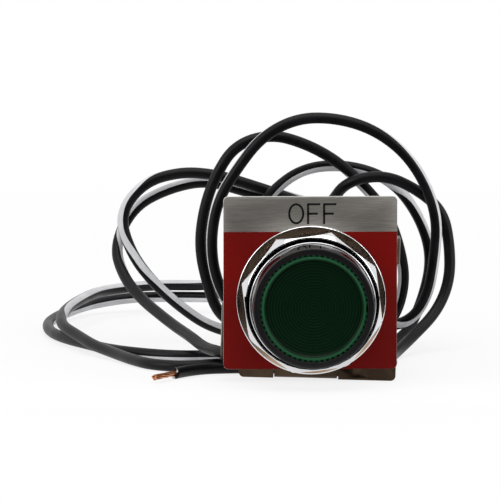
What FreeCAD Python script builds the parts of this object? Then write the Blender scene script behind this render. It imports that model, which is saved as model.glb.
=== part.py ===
import FreeCAD, Part
import math
import os

os.makedirs("parts", exist_ok=True)

# Illuminated pushbutton for a 30.5 mm panel hole, with its legend plate, bracket and loose leads.
# Millimetres. X to the right and Z up as seen from the front, Y into the panel.
# Sizes named depth are measured behind the front face of the legend plate, so they are
# negative in front of it. place_depth() turns such a size into Y.

V = FreeCAD.Vector

# legend plate
plate_width = 44.5
plate_height = 44.5
plate_thickness = 1.0
plate_corner = 1.2
plate_shift_x = -0.2
plate_drop = 17.95
plate_hole_gap = 0.2

# locking nut and washer
washer_radius = 19.15
washer_bore_gap = 0.3
washer_thickness = 1.6
washer_edge = 0.3
nut_across_flats = 34.4
nut_height = 7.5
nut_crown_depth = 4.2
nut_mouth_radius = 17.08
nut_crown_bulge = 0.3
nut_collar_gap = 0.2
nut_mouth_chamfer = 0.5
nut_mouth_depth = 1.2
nut_turn = 7.0
nut_sides = 8
thread_clearance = 0.05

# operator body: bushing, flange and round body
bushing_radius = 15.1
bushing_reach = 2.2
bushing_bore = 12.0
bushing_chamfer = 0.5
gasket_thickness = 1.5
gasket_bore_gap = 0.1
flange_thickness = 3.0
flange_lip_gap = 0.4
body_radius = 17.0
body_length = 16.0
spring_chamber_radius = 14.9
shoulder_thickness = 2.3
boss_radius = 3.0
screw_inset = 3.0
screw_ring_gap = 2.6
seal_groove_depth = 1.2
seal_width = 2.0
seal_setback = 1.0
seal_clearance = 0.05
seal_lip = 0.3

# button ring: its wall widens from the front edge to the bright trim round its foot
ring_radius = 15.4
ring_foot_radius = 15.95
ring_length = 10.7
ring_front_reach = 17.2
ring_edge = 0.4
ring_bore = 13.7
lens_seat_depth = 4.6
ring_web = 2.5
ring_skirt_bore = 14.2
trim_setback = 7.1
trim_length = 2.5
trim_radius = 16.1
trim_wall = 0.55
trim_clearance = 0.05
travel = 3.0

# lens and its gasket
lens_clearance = 0.1
lens_rim_depth = 0.1
lens_bead_width = 1.1
lens_bead_round = 0.35
lens_dish = 0.8
lens_wall = 1.6
lens_lip_width = 1.5
lens_ring_count = 14
lens_ring_height = 0.12
lens_ring_share = 0.35
lens_boss_radius = 0.9
lens_tooth_count = 60
lens_tooth_depth = 0.35
lens_tooth_length = 0.9
lens_gasket_thickness = 0.8
lens_gasket_width = 2.6

# plunger
plunger_clearance = 0.15
plunger_flange_radius = 14.5
plunger_flange_thickness = 1.6
plunger_rest_gap = 0.2
leg_radius = 1.4
leg_inset = 3.0
leg_spring_gap = 0.85
leg_past_bore = 1.0
leg_past_body = 1.3
leg_gap = 0.2

# return spring and contact spring
return_spring_radius = 13.3
return_wire_radius = 0.45
return_turns = 4
contact_spring_radius = 3.4
contact_wire_radius = 0.3
contact_turns = 5
spring_end_gap = 0.05
coil_steps = 16
arc_share = 0.45

# lamp, its base and its socket
bulb_bulge = 0.5
bulb_length = 12.0
lamp_flange_width = 1.1
lamp_flange_thickness = 0.8
socket_wall = 2.6
socket_leg_gap = 1.55
socket_reach = 4.5
socket_floor = 1.5
socket_clearance = 0.1
lamp_clearance = 0.1

# light unit and contact block
unit_width = 30.0
unit_height = 42.6
unit_top_drop = 1.1
unit_corner = 1.5
unit_length = 16.0
socket_seat_floor = 2.0
leg_hole_gap = 0.45
block_length = 14.5
cover_length = 6.8
cover_edge = 0.8
cavity_wall = 1.5
cavity_height = 18.0
cavity_corner = 1.0
seam_depth = 0.5
seam_width = 0.8

# contact carrier, bridge and fixed contacts
carrier_setback = 1.0
carrier_side_gap = 0.8
carrier_bar_height = 6.0
carrier_bar_thickness = 3.4
carrier_bar_corner = 1.0
carrier_stem_radius = 2.2
carrier_stem_length = 12.0
stem_hole_gap = 0.4
stem_end_gap = 1.0
bridge_overhang = 1.9
bridge_height = 7.0
bridge_thickness = 0.8
bridge_corner = 0.8
bridge_hole_gap = 0.05
pad_radius = 1.6
pad_thickness = 0.6
contact_inset = 6.9
contact_strip_width = 4.4
contact_strip_thickness = 0.8
contact_open_gap = 0.1
carrier_stop_gap = 0.3
spring_seat_depth = 3.2
spring_seat_gap = 0.4

# block screws
screw_radius = 1.5
screw_hole_gap = 0.1
screw_head_radius = 2.75
screw_head_length = 2.0
screw_head_sink = 0.4
screw_grip = 9.0
screw_tip_gap = 1.0
screw_slot_width = 0.7
screw_slot_depth = 0.9

# mounting bracket, folded from sheet
bracket_thickness = 1.2
bracket_turn = 1.8
bracket_half_width = 21.2
bracket_top = 20.6
bracket_bottom = 20.6
bracket_waist = 17.0
bracket_tab_left = 17.9
bracket_tab_right = 22.4
bracket_corner = 1.3
bracket_hole_gap = 0.2
bracket_flange_reach = 22.6
bracket_flange_length = 7.0
bracket_left_flange = (-16.0, -2.0)
bracket_right_flange = (9.6, 16.2)
bracket_lip = (-8.7, 7.4)
bracket_lip_length = 4.6
bracket_relief_width = 0.3
bracket_relief_height = 1.8
bracket_bend_radius = 0.5
bracket_strip_root = 17.7
bracket_dimple_radius = 0.9
bracket_dimple_sink = 0.3
bracket_dimple_x = 12.4
bracket_dimple_z = -18.9

# how far a cut runs past a face, and how deep pieces of one part run into each other
cut_past = 1.0
weld = 0.2

# loose leads: outer diameter, bare strands and their routes
lead_diameter = 3.0
strand_diameter = 1.5
strip_length = 9.5

# Each point of a route is x, depth and height above the resting surface.
lead_1_route = [
    (-34.9, 6.2, 1.5), (-29.5, 14.4, 1.5), (-19.5, 16.5, 1.5), (-7, 16, 1.5), (5, 14.5, 1.5),
    (13.5, 15.2, 1.5), (18, 20.5, 1.5), (19, 31, 1.5), (18.3, 44, 1.5), (19.5, 57, 1.5), (28, 67, 2),
    (33.4, 72, 12.5), (35.7, 71.5, 24.2), (31.8, 71.5, 35.7), (24.3, 71.5, 45), (12.9, 71.5, 48.9),
    (0.7, 71.5, 48.2), (-8.6, 73, 40.9), (-14.5, 80, 30.5), (-13, 91.5, 26), (-11, 103, 21),
    (-7.5, 113, 15), (-5.5, 124, 9.5), (-10, 134.5, 5), (-21.5, 139, 4.5), (-34.1, 141.6, 4.4),
    (-45.2, 142.9, 4.1), (-55.9, 137.7, 3.1), (-61.6, 127.7, 2.6), (-65.6, 117.8, 2.2),
    (-68.5, 105.7, 1.9), (-68.6, 94.9, 1.7), (-66.9, 83.8, 1.6), (-62.9, 73.3, 1.5), (-57.5, 63.3, 1.5),
    (-52.6, 53.2, 1.5), (-44.5, 45, 1.5), (-34.7, 38.8, 1.5), (-24.5, 38.5, 1.6), (-15, 38.5, 1.6),
]
lead_2_route = [
    (-15, 22, 1.8), (-22, 22, 1.8), (-31.5, 18.5, 1.5), (-40.6, 22.3, 1.5), (-46, 32.2, 1.6),
    (-50.4, 42.3, 1.9), (-55.9, 51.8, 2.7), (-60.1, 61.9, 4), (-64.3, 72.2, 5.2), (-65, 82.3, 6.4),
    (-63.3, 94.4, 7.1), (-60.7, 104.9, 7.6), (-57.5, 115.1, 8), (-54, 125.6, 8), (-46.8, 134.1, 8),
    (-37.2, 139.7, 8), (-26, 140.4, 7.7), (-14.5, 130.5, 9.5), (-6, 127, 15), (0, 119, 20),
    (2.5, 110, 25), (3, 100, 29.5), (4.5, 90, 32.5), (6, 80, 35), (8, 70.5, 38.5), (12, 64.2, 45.1),
    (21.9, 63.5, 47), (30.6, 64, 43.2), (38, 64, 37.1), (39.8, 63, 27.8), (39.7, 61.2, 18.5),
    (36.1, 58, 10.6), (29, 51.5, 4.5), (24, 42.5, 1.5), (22, 32.5, 1.5), (22.3, 21, 1.5),
    (16, 12.3, 1.5), (6, 9, 1.5), (-5, 9.6, 1.5), (-15.5, 10.3, 3.5), (-22.5, 17, 5.5),
    (-26.7, 27.5, 5.1), (-30.2, 37.5, 6.8), (-34.1, 47.5, 8.2), (-38.6, 57, 10.6), (-43, 66.5, 13.2),
    (-47.7, 75, 18), (-50.3, 83.5, 25.5), (-45.3, 85, 36), (-35.7, 84, 41.3), (-25, 83, 43.7),
    (-14.5, 83, 40.5), (-6.5, 82.5, 38.5), (-1.5, 81.5, 33), (-0.5, 81, 25),
]
lead_3_route = [
    (6, 57, 36), (6, 63, 36), (3.5, 72.5, 38), (-3.5, 79, 39.5), (-13, 79.5, 42.6), (-22.6, 79, 45.6),
    (-32.6, 79.5, 46.3), (-42.4, 80, 43.3), (-48.9, 80, 34.7), (-45.9, 79, 24.5), (-40, 77, 16.6),
    (-32.7, 74.5, 10.2), (-24.6, 73, 4.7), (-14.5, 72, 2.5), (-5, 72.5, 1.5), (4.5, 72.5, 2),
    (13, 69.7, 5.8), (20, 62.9, 5.8), (28.9, 60.4, 7.3), (33.8, 60.4, 14.5), (35.6, 60.5, 24.9),
    (36.3, 60.5, 35.2), (33, 60.5, 45.2), (27.2, 60.5, 53.6), (18.7, 60.5, 59.7), (8.7, 60.5, 62.6),
    (-1.6, 60.5, 62.5), (-10.9, 60.5, 57.5), (-17.4, 60.5, 49.1), (-22.6, 60.5, 40.5),
    (-24.5, 60.5, 30.1), (-23.4, 60.5, 19.9), (-19, 60.5, 11), (-12, 61, 4), (-2.5, 62, 1.8),
    (7, 63.3, 1.5), (16.5, 65.8, 1.5), (25, 68, 6.5), (28.2, 68, 17.1), (26.7, 68, 26.7),
    (23.4, 68, 35.8), (17, 68, 43.5), (9.8, 68, 50.2), (1.4, 68, 54.9), (-8, 67, 57.7),
    (-17.8, 66, 54.9), (-23.3, 66, 46.2), (-26.3, 66, 37.1), (-27.4, 66, 27.3), (-25.4, 66, 17.6),
    (-22.5, 66.3, 9.2), (-16.5, 67.6, 5.4), (-9, 71.5, 5.5), (-5.8, 78, 4.4), (-5, 86, 1.6),
    (-5, 94, 1.6),
]

# Sizes that follow from the ones above.
flange_radius = bracket_bottom - bracket_thickness - flange_lip_gap
gasket_radius = flange_radius
bracket_front = plate_thickness
gasket_front = bracket_front + bracket_thickness
flange_front = gasket_front + gasket_thickness
body_back = flange_front + body_length
unit_back = body_back + unit_length
block_back = unit_back + block_length
cover_back = block_back + cover_length
ring_front = -washer_thickness - ring_front_reach
ring_back = ring_front + ring_length
lens_seat = ring_front + lens_seat_depth
web_back = lens_seat + ring_web
bushing_front = -washer_thickness - bushing_reach
shoulder = flange_front + shoulder_thickness
plunger_flange_front = shoulder + plunger_rest_gap
plunger_flange_back = plunger_flange_front + plunger_flange_thickness
trim_front = ring_front + trim_setback
trim_seat_radius = trim_radius - trim_wall - trim_clearance
nut_collar_radius = trim_radius + nut_collar_gap
leg_end = body_back + leg_past_body
inside_spring = return_spring_radius - return_wire_radius - leg_radius - leg_spring_gap
leg_offset = min(inside_spring, unit_width / 2 - leg_inset)
plunger_bore = leg_offset - leg_past_bore
socket_radius = leg_offset - leg_radius - leg_hole_gap - socket_leg_gap
lamp_base_radius = socket_radius - socket_wall - lamp_clearance
lamp_flange_radius = lamp_base_radius + lamp_flange_width
bulb_radius = lamp_base_radius + bulb_bulge
screw_x = unit_width / 2 - screw_inset
screw_z = math.sqrt((body_radius + screw_ring_gap) ** 2 - screw_x ** 2)
cavity_width = unit_width - 2 * cavity_wall
carrier_bar_width = cavity_width - 2 * carrier_side_gap
contact_offset = cavity_width / 2 - contact_inset
bridge_length = 2 * (contact_offset + bridge_overhang)
axis_z = unit_height / 2
front_reach = -ring_front
plate_front_y = (front_reach - cover_back) / 2
axis = V(0, 0, axis_z)


def place_depth(depth):
    """Y of a depth behind the front face of the legend plate."""
    return depth + plate_front_y


def revolve(points):
    """Full turn about the button axis of a closed outline of (radius, depth) points."""
    outline = [V(r, place_depth(d), axis_z) for r, d in points]
    face = Part.Face(Part.makePolygon(outline + [outline[0]]))
    return face.revolve(axis, V(0, 1, 0), 360)


def tube(outer, inner, front, back):
    """Plain ring about the button axis."""
    return revolve([(inner, front), (outer, front), (outer, back), (inner, back)])


def rod(radius, front, back, x=0.0, z=0.0):
    """Round bar along Y, its centre at x and z from the button axis."""
    return Part.makeCylinder(radius, back - front, V(x, place_depth(front), axis_z + z), V(0, 1, 0))


def slab(x0, x1, front, back, z0, z1):
    """Plain block, with x and z from the button axis."""
    corner = V(x0, place_depth(front), axis_z + z0)
    return Part.makeBox(x1 - x0, back - front, z1 - z0, corner)


def round_edges_along_y(shape, radius):
    """Fillet every straight edge that runs along Y."""
    edges = []
    for edge in shape.Edges:
        start, end = edge.Vertexes[0].Point, edge.Vertexes[-1].Point
        if abs(abs(end.y - start.y) - edge.Length) < 1e-6:
            edges.append(edge)
    return shape.makeFillet(radius, edges)


def rounded_slab(x0, x1, front, back, z0, z1, radius):
    return round_edges_along_y(slab(x0, x1, front, back, z0, z1), radius)


def edges_at_depth(shape, depth):
    """Edges that lie in the plane of one depth."""
    y = place_depth(depth)
    found = []
    for edge in shape.Edges:
        box = edge.BoundBox
        if abs(box.YMin - y) < 1e-4 and abs(box.YMax - y) < 1e-4:
            found.append(edge)
    return found


def rounded_path(points):
    """Straight runs joined by tangent arcs, each arc as large as its two runs allow."""
    edges = []
    radii = []
    here = points[0]
    for i in range(1, len(points) - 1):
        back = points[i - 1] - points[i]
        ahead = points[i + 1] - points[i]
        setback = arc_share * min(back.Length, ahead.Length)
        half_turn = (math.pi - back.getAngle(ahead)) / 2
        radius = setback / math.tan(half_turn)
        back.normalize()
        ahead.normalize()
        start = points[i] + back * setback
        end = points[i] + ahead * setback
        inward = back + ahead
        inward.normalize()
        middle = points[i] + inward * (radius / math.cos(half_turn) - radius)
        edges.append(Part.LineSegment(here, start).toShape())
        edges.append(Part.Arc(start, middle, end).toShape())
        radii.append(radius)
        here = end
    edges.append(Part.LineSegment(here, points[-1]).toShape())
    return Part.Wire(edges), radii


def round_sweep(radius, points):
    """Round bar along a rounded path."""
    path, radii = rounded_path(points)
    section = Part.Wire(Part.makeCircle(radius, points[0], points[1] - points[0]))
    return path.makePipeShell([section], True, False), path.Length, radii


def coil(radius, wire_radius, turns, front, back):
    """Round-wire compression spring about the button axis."""
    first, last = front + wire_radius, back - wire_radius
    steps = turns * coil_steps
    points = []
    for i in range(steps + 1):
        turn = 2 * math.pi * i / coil_steps
        depth = first + (last - first) * i / steps
        points.append(V(radius * math.cos(turn), place_depth(depth), axis_z + radius * math.sin(turn)))
    return round_sweep(wire_radius, points)[0]


def make_legend_plate():
    left = plate_shift_x - plate_width / 2
    plate = rounded_slab(left, left + plate_width, 0, plate_thickness,
                         -plate_drop, plate_height - plate_drop, plate_corner)
    return plate.cut(rod(bushing_radius + plate_hole_gap, -cut_past, plate_thickness + cut_past))


def make_front_washer():
    washer = tube(washer_radius, bushing_radius + washer_bore_gap, -washer_thickness, 0)
    return washer.makeFillet(washer_edge, edges_at_depth(washer, -washer_thickness))


def make_locking_nut():
    """Eight flats under a crown, a threaded bore and a wider collar that takes the button ring."""
    back = -washer_thickness
    front = back - nut_height
    corner = nut_across_flats / 2 / math.cos(math.pi / nut_sides)
    points = []
    for i in range(nut_sides + 1):
        turn = 2 * math.pi * (i + 0.5) / nut_sides + math.radians(nut_turn)
        points.append(V(corner * math.cos(turn), place_depth(front), axis_z + corner * math.sin(turn)))
    prism = Part.Face(Part.makePolygon(points)).extrude(V(0, nut_height, 0))
    crown_start = front + nut_crown_depth
    rise = corner - nut_mouth_radius
    mid_radius = corner - nut_crown_bulge * rise
    mid_depth = front + nut_crown_bulge * nut_crown_depth
    y = place_depth
    outline = [
        Part.LineSegment(V(0, y(back), axis_z), V(corner, y(back), axis_z)),
        Part.LineSegment(V(corner, y(back), axis_z), V(corner, y(crown_start), axis_z)),
        Part.Arc(V(corner, y(crown_start), axis_z), V(mid_radius, y(mid_depth), axis_z),
                 V(nut_mouth_radius, y(front), axis_z)),
        Part.LineSegment(V(nut_mouth_radius, y(front), axis_z), V(0, y(front), axis_z)),
        Part.LineSegment(V(0, y(front), axis_z), V(0, y(back), axis_z)),
    ]
    crown = Part.Face(Part.Wire([edge.toShape() for edge in outline]))
    crown = crown.revolve(axis, V(0, 1, 0), 360)
    thread = bushing_radius + thread_clearance
    collar = nut_collar_radius
    mouth = collar + nut_mouth_chamfer
    bore = revolve([(0, back + cut_past), (thread, back + cut_past), (thread, bushing_front),
                    (collar, bushing_front), (collar, front + nut_mouth_depth), (mouth, front),
                    (mouth, front - cut_past), (0, front - cut_past)])
    return prism.common(crown).cut(bore)


def folded_strip(start, end, reach, length):
    """Strip of sheet that leaves the bracket's face and turns back through a right angle.

    Runs along X from start to end, with its outer side facing down at -reach.
    """
    t = bracket_thickness
    inner = bracket_bend_radius
    outer = inner + t
    front = place_depth(bracket_front)
    back = front + length
    z = axis_z - reach
    root = axis_z - bracket_strip_root
    c = math.sqrt(0.5)
    centre_y, centre_z = front + outer, z + outer
    edges = [
        Part.LineSegment(V(0, front, root), V(0, front, centre_z)),
        Part.Arc(V(0, front, centre_z), V(0, centre_y - c * outer, centre_z - c * outer), V(0, centre_y, z)),
        Part.LineSegment(V(0, centre_y, z), V(0, back, z)),
        Part.LineSegment(V(0, back, z), V(0, back, z + t)),
        Part.LineSegment(V(0, back, z + t), V(0, centre_y, z + t)),
        Part.Arc(V(0, centre_y, z + t), V(0, centre_y - c * inner, centre_z - c * inner),
                 V(0, front + t, centre_z)),
        Part.LineSegment(V(0, front + t, centre_z), V(0, front + t, root)),
        Part.LineSegment(V(0, front + t, root), V(0, front, root)),
    ]
    face = Part.Face(Part.Wire([edge.toShape() for edge in edges]))
    face.translate(V(start, 0, 0))
    return face.extrude(V(end - start, 0, 0))


def make_mounting_bracket():
    """Zinc-plated sheet behind the legend plate, with two side flanges and a lip below."""
    front, back = bracket_front, bracket_front + bracket_thickness
    sheet = slab(-bracket_half_width, bracket_half_width, front, back, -bracket_waist, bracket_top)
    tab = rounded_slab(-bracket_tab_left, bracket_tab_right, front, back,
                       -bracket_bottom, -bracket_waist + 2 * bracket_corner, bracket_corner)
    sheet = sheet.fuse(tab).removeSplitter()
    lip_start, lip_end = bracket_lip
    bend = bracket_bend_radius + bracket_thickness
    sheet = sheet.cut(slab(lip_start, lip_end, front - cut_past, back + cut_past,
                           -bracket_bottom - cut_past, -bracket_bottom + bend))
    sheet = sheet.fuse(folded_strip(lip_start, lip_end, bracket_bottom, bracket_lip_length))
    left = folded_strip(-bracket_left_flange[1], -bracket_left_flange[0],
                        bracket_flange_reach, bracket_flange_length)
    left.rotate(axis, V(0, 1, 0), 90)
    right = folded_strip(bracket_right_flange[0], bracket_right_flange[1],
                         bracket_flange_reach, bracket_flange_length)
    right.rotate(axis, V(0, 1, 0), -90)
    sheet = sheet.fuse([left, right])
    for edge_x, side in ((lip_start, -1), (lip_end, 1)):
        x0, x1 = sorted((edge_x, edge_x + side * bracket_relief_width))
        sheet = sheet.cut(slab(x0, x1, front - cut_past, back + cut_past,
                               -bracket_bottom - cut_past, -bracket_bottom + bracket_relief_height))
    sheet = sheet.cut(rod(bushing_radius + bracket_hole_gap, front - cut_past, back + cut_past))
    sheet = sheet.cut(rod(bracket_dimple_radius, front - cut_past, front + bracket_dimple_sink,
                          bracket_dimple_x, bracket_dimple_z))
    sheet = sheet.removeSplitter()
    sheet.rotate(axis, V(0, 1, 0), bracket_turn)
    return sheet


def make_panel_gasket():
    return tube(gasket_radius, bushing_radius + gasket_bore_gap, gasket_front, flange_front)


def make_operator_body():
    """Bushing, flange and round body in one, with a chamber behind for the return spring."""
    seal_front = bushing_front + seal_setback
    groove = bushing_bore + seal_groove_depth
    outline = [
        (bushing_bore, bushing_front),
        (bushing_radius - bushing_chamfer, bushing_front),
        (bushing_radius, bushing_front + bushing_chamfer),
        (bushing_radius, flange_front),
        (flange_radius, flange_front),
        (flange_radius, flange_front + flange_thickness),
        (body_radius, flange_front + flange_thickness),
        (body_radius, body_back),
        (spring_chamber_radius, body_back),
        (spring_chamber_radius, shoulder),
        (bushing_bore, shoulder),
        (bushing_bore, seal_front + seal_width),
        (groove, seal_front + seal_width),
        (groove, seal_front),
        (bushing_bore, seal_front),
    ]
    body = revolve(outline)
    bosses = [rod(boss_radius, flange_front, body_back, x, screw_z) for x in (-screw_x, screw_x)]
    clear = rod(spring_chamber_radius, shoulder, body_back)
    body = body.fuse([boss.cut(clear) for boss in bosses]).removeSplitter()
    for x in (-screw_x, screw_x):
        hole_front = body_back - screw_grip - screw_tip_gap
        body = body.cut(rod(screw_radius + screw_hole_gap, hole_front, body_back, x, screw_z))
    return body


def make_bushing_seal():
    front = bushing_front + seal_setback + seal_clearance
    back = front + seal_width - 2 * seal_clearance
    outer = bushing_bore + seal_groove_depth - seal_clearance
    inner = bushing_bore + seal_lip
    return revolve([(inner, front), (outer, front), (outer, back), (inner, back),
                    (bushing_bore, back - seal_lip), (bushing_bore, front + seal_lip)])


def make_button_ring():
    """Moulded ring: lens seat in front, a web in the middle and a skirt behind that carries the trim."""
    outline = [
        (ring_bore, ring_front),
        (ring_radius, ring_front),
        (ring_foot_radius, trim_front),
        (trim_seat_radius, trim_front),
        (trim_seat_radius, ring_back),
        (ring_skirt_bore, ring_back),
        (ring_skirt_bore, web_back),
        (plunger_bore, web_back),
        (plunger_bore, lens_seat),
        (ring_bore, lens_seat),
    ]
    ring = revolve(outline)
    rims = []
    for edge in edges_at_depth(ring, ring_front):
        if edge.BoundBox.XMax > ring_bore + ring_edge:
            rims.append(edge)
    return ring.makeFillet(ring_edge, rims)


def make_bezel_trim():
    return tube(trim_radius, trim_seat_radius + trim_clearance, trim_front, trim_front + trim_length)


def make_lens():
    """Dished lens with concentric prism rings on its face and a toothed rim."""
    outer = ring_bore - lens_clearance
    rim_front = ring_front + lens_rim_depth
    back = lens_seat - lens_gasket_thickness
    bead_inner = outer - lens_tooth_depth - lens_bead_width
    body_outer = outer - lens_tooth_depth
    face = rim_front + lens_dish
    pitch = (bead_inner - lens_boss_radius) / lens_ring_count
    outline = [(0, face), (lens_boss_radius, face)]
    for i in range(lens_ring_count):
        start = lens_boss_radius + i * pitch
        outline.append((start + lens_ring_share * pitch, face + lens_ring_height))
        outline.append((start + pitch, face))
    outline += [
        (bead_inner + lens_bead_round, rim_front),
        (body_outer - lens_bead_round, rim_front),
        (body_outer, rim_front + lens_bead_round),
        (body_outer, back),
        (body_outer - lens_lip_width, back),
        (body_outer - lens_lip_width, face + lens_wall),
        (0, face + lens_wall),
    ]
    lens = revolve(outline)
    teeth = []
    tooth_front = rim_front + lens_bead_round
    for i in range(lens_tooth_count):
        for share, radius in ((0.0, outer), (0.5, outer), (0.5, body_outer), (1.0, body_outer)):
            turn = 2 * math.pi * (i + share) / lens_tooth_count
            x, z = radius * math.cos(turn), radius * math.sin(turn)
            teeth.append(V(x, place_depth(tooth_front), axis_z + z))
    crown = Part.Face(Part.makePolygon(teeth + [teeth[0]])).extrude(V(0, lens_tooth_length, 0))
    middle = body_outer - lens_lip_width / 2
    crown = crown.cut(rod(middle, tooth_front - cut_past, tooth_front + lens_tooth_length + cut_past))
    rim = tube(outer, middle, tooth_front + lens_tooth_length, back)
    return lens.fuse([crown, rim]).removeSplitter()


def make_lens_gasket():
    outer = ring_bore - lens_clearance
    return tube(outer, outer - lens_gasket_width, lens_seat - lens_gasket_thickness, lens_seat)


def make_plunger():
    """Sleeve behind the ring, with a flange under the return spring's force and two push legs."""
    outer = bushing_bore - plunger_clearance
    sleeve = revolve([
        (plunger_bore, web_back),
        (outer, web_back),
        (outer, plunger_flange_front),
        (plunger_flange_radius, plunger_flange_front),
        (plunger_flange_radius, plunger_flange_back),
        (plunger_bore, plunger_flange_back),
    ])
    legs = [rod(leg_radius, plunger_flange_front, leg_end, x) for x in (-leg_offset, leg_offset)]
    return sleeve.fuse(legs).removeSplitter()


def make_return_spring():
    return coil(return_spring_radius, return_wire_radius, return_turns,
                plunger_flange_back + spring_end_gap, body_back - spring_end_gap)


def lamp_base_back():
    return unit_back - socket_seat_floor - socket_floor - socket_clearance


def make_lamp_socket():
    """Cup that stands in the light unit and holds the lamp by its base."""
    front = body_back - socket_reach
    back = unit_back - socket_seat_floor
    cup = lamp_base_radius + lamp_clearance
    return revolve([(0, back - socket_floor), (cup, back - socket_floor), (cup, front),
                    (socket_radius, front), (socket_radius, back), (0, back)])


def make_lamp_base():
    back = lamp_base_back()
    socket_front = body_back - socket_reach
    front = socket_front - lamp_flange_thickness
    return revolve([(0, front), (lamp_flange_radius, front), (lamp_flange_radius, socket_front),
                    (lamp_base_radius, socket_front), (lamp_base_radius, back), (0, back)])


def make_lamp_bulb():
    back = body_back - socket_reach - lamp_flange_thickness
    dome = back - bulb_length + bulb_radius
    y = place_depth
    c = math.sqrt(0.5)
    edges = [
        Part.LineSegment(V(0, y(back), axis_z), V(bulb_radius, y(back), axis_z)),
        Part.LineSegment(V(bulb_radius, y(back), axis_z), V(bulb_radius, y(dome), axis_z)),
        Part.Arc(V(bulb_radius, y(dome), axis_z), V(c * bulb_radius, y(dome - c * bulb_radius), axis_z),
                 V(0, y(dome - bulb_radius), axis_z)),
        Part.LineSegment(V(0, y(dome - bulb_radius), axis_z), V(0, y(back), axis_z)),
    ]
    return Part.Face(Part.Wire([edge.toShape() for edge in edges])).revolve(axis, V(0, 1, 0), 360)


def housing_slab(front, back):
    """Outline shared by the housings: down to the resting surface, a little lower at the top."""
    half = unit_width / 2
    return rounded_slab(-half, half, front, back, -axis_z, axis_z - unit_top_drop, unit_corner)


def screw_holes(front, back):
    return [rod(screw_radius + screw_hole_gap, front, back, x, screw_z) for x in (-screw_x, screw_x)]


def seam(depth):
    """Shallow groove round a housing where the next one meets it."""
    outside = slab(-unit_width, unit_width, depth - seam_width, depth + cut_past, -unit_height, unit_height)
    half = unit_width / 2 - seam_depth
    core = slab(-half, half, depth - seam_width, depth + cut_past, -axis_z - cut_past,
                axis_z - unit_top_drop - seam_depth)
    return outside.cut(core)


def make_light_unit():
    """Housing with the lamp socket's seat, the guide holes of the legs and the lead exits."""
    unit = housing_slab(body_back, unit_back).cut(seam(unit_back))
    front, back = body_back - cut_past, unit_back + cut_past
    seat = rod(socket_radius + socket_clearance, front, unit_back - socket_seat_floor)
    guides = [rod(leg_radius + leg_hole_gap, front, back, x) for x in (-leg_offset, leg_offset)]
    return unit.cut([seat] + guides + screw_holes(front, back))


def contact_pad_front():
    return carrier_bar_back() + travel + carrier_stop_gap + contact_strip_thickness


def carrier_bar_front():
    return unit_back + carrier_setback


def carrier_bar_back():
    return carrier_bar_front() + carrier_bar_thickness


def make_contact_block():
    """Housing of the contacts, open in front, where the light unit closes it."""
    block = housing_slab(unit_back, block_back).cut(seam(block_back))
    front, back = unit_back - cut_past, block_back + cut_past
    cavity = rounded_slab(-cavity_width / 2, cavity_width / 2, front, back,
                          -cavity_height / 2, cavity_height / 2, cavity_corner)
    return block.cut([cavity] + screw_holes(front, back))


def make_block_cover():
    """Rear cover, with the guide of the carrier's stem, the spring's seat and the screw heads' seats."""
    cover = housing_slab(block_back, cover_back)
    cover = cover.makeChamfer(cover_edge, edges_at_depth(cover, cover_back))
    stem_end = carrier_bar_back() + carrier_stem_length
    front, back = block_back - cut_past, cover_back + cut_past
    guide = rod(carrier_stem_radius + stem_hole_gap, front, stem_end + travel + stem_end_gap)
    seat_radius = contact_spring_radius + contact_wire_radius + spring_seat_gap
    seat = rod(seat_radius, front, block_back + spring_seat_depth)
    cover = cover.cut([guide, seat] + screw_holes(front, back))
    head_seat = cover_back - screw_head_sink - screw_head_length
    for x in (-screw_x, screw_x):
        cover = cover.cut(rod(screw_head_radius + screw_hole_gap, head_seat, back, x, screw_z))
    return cover


def make_contact_carrier():
    """Crossbar with two prongs that meet the plunger's legs and a stem that carries the bridge."""
    half = carrier_bar_width / 2
    front, back = carrier_bar_front(), carrier_bar_back()
    bar = rounded_slab(-half, half, front, back, -carrier_bar_height / 2, carrier_bar_height / 2,
                       carrier_bar_corner)
    prongs = [rod(leg_radius, leg_end + leg_gap, front + weld, x) for x in (-leg_offset, leg_offset)]
    stem = rod(carrier_stem_radius, back - weld, back + carrier_stem_length)
    return bar.fuse(prongs + [stem]).removeSplitter()


def make_contact_bridge():
    """Copper strip on the stem, with a contact pad at each end."""
    front = contact_pad_front() + contact_open_gap + 2 * pad_thickness
    half = bridge_length / 2
    strip = rounded_slab(-half, half, front, front + bridge_thickness,
                         -bridge_height / 2, bridge_height / 2, bridge_corner)
    spots = (-contact_offset, contact_offset)
    pads = [rod(pad_radius, front - pad_thickness, front + weld, x) for x in spots]
    hole = rod(carrier_stem_radius + bridge_hole_gap, front - cut_past, front + bridge_thickness + cut_past)
    return strip.fuse(pads).cut(hole).removeSplitter()


def make_contact_spring():
    front = contact_pad_front() + contact_open_gap + 2 * pad_thickness + bridge_thickness
    return coil(contact_spring_radius, contact_wire_radius, contact_turns,
                front + spring_end_gap, block_back + spring_seat_depth - spring_end_gap)


def make_fixed_contact(side):
    """Strip from the cavity's wall to in front of the bridge, with its pad facing the bridge."""
    back = contact_pad_front()
    front = back - contact_strip_thickness
    inner = side * (contact_offset - contact_strip_width / 2)
    outer = side * (cavity_width / 2)
    x0, x1 = sorted((inner, outer))
    strip = slab(x0, x1, front, back, -contact_strip_width / 2, contact_strip_width / 2)
    tail_x0, tail_x1 = sorted((outer, outer - side * contact_strip_thickness))
    tail = slab(tail_x0, tail_x1, back - weld, block_back, -contact_strip_width / 2, contact_strip_width / 2)
    pad = rod(pad_radius, back - weld, back + pad_thickness, side * contact_offset)
    return strip.fuse([tail, pad]).removeSplitter()


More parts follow.
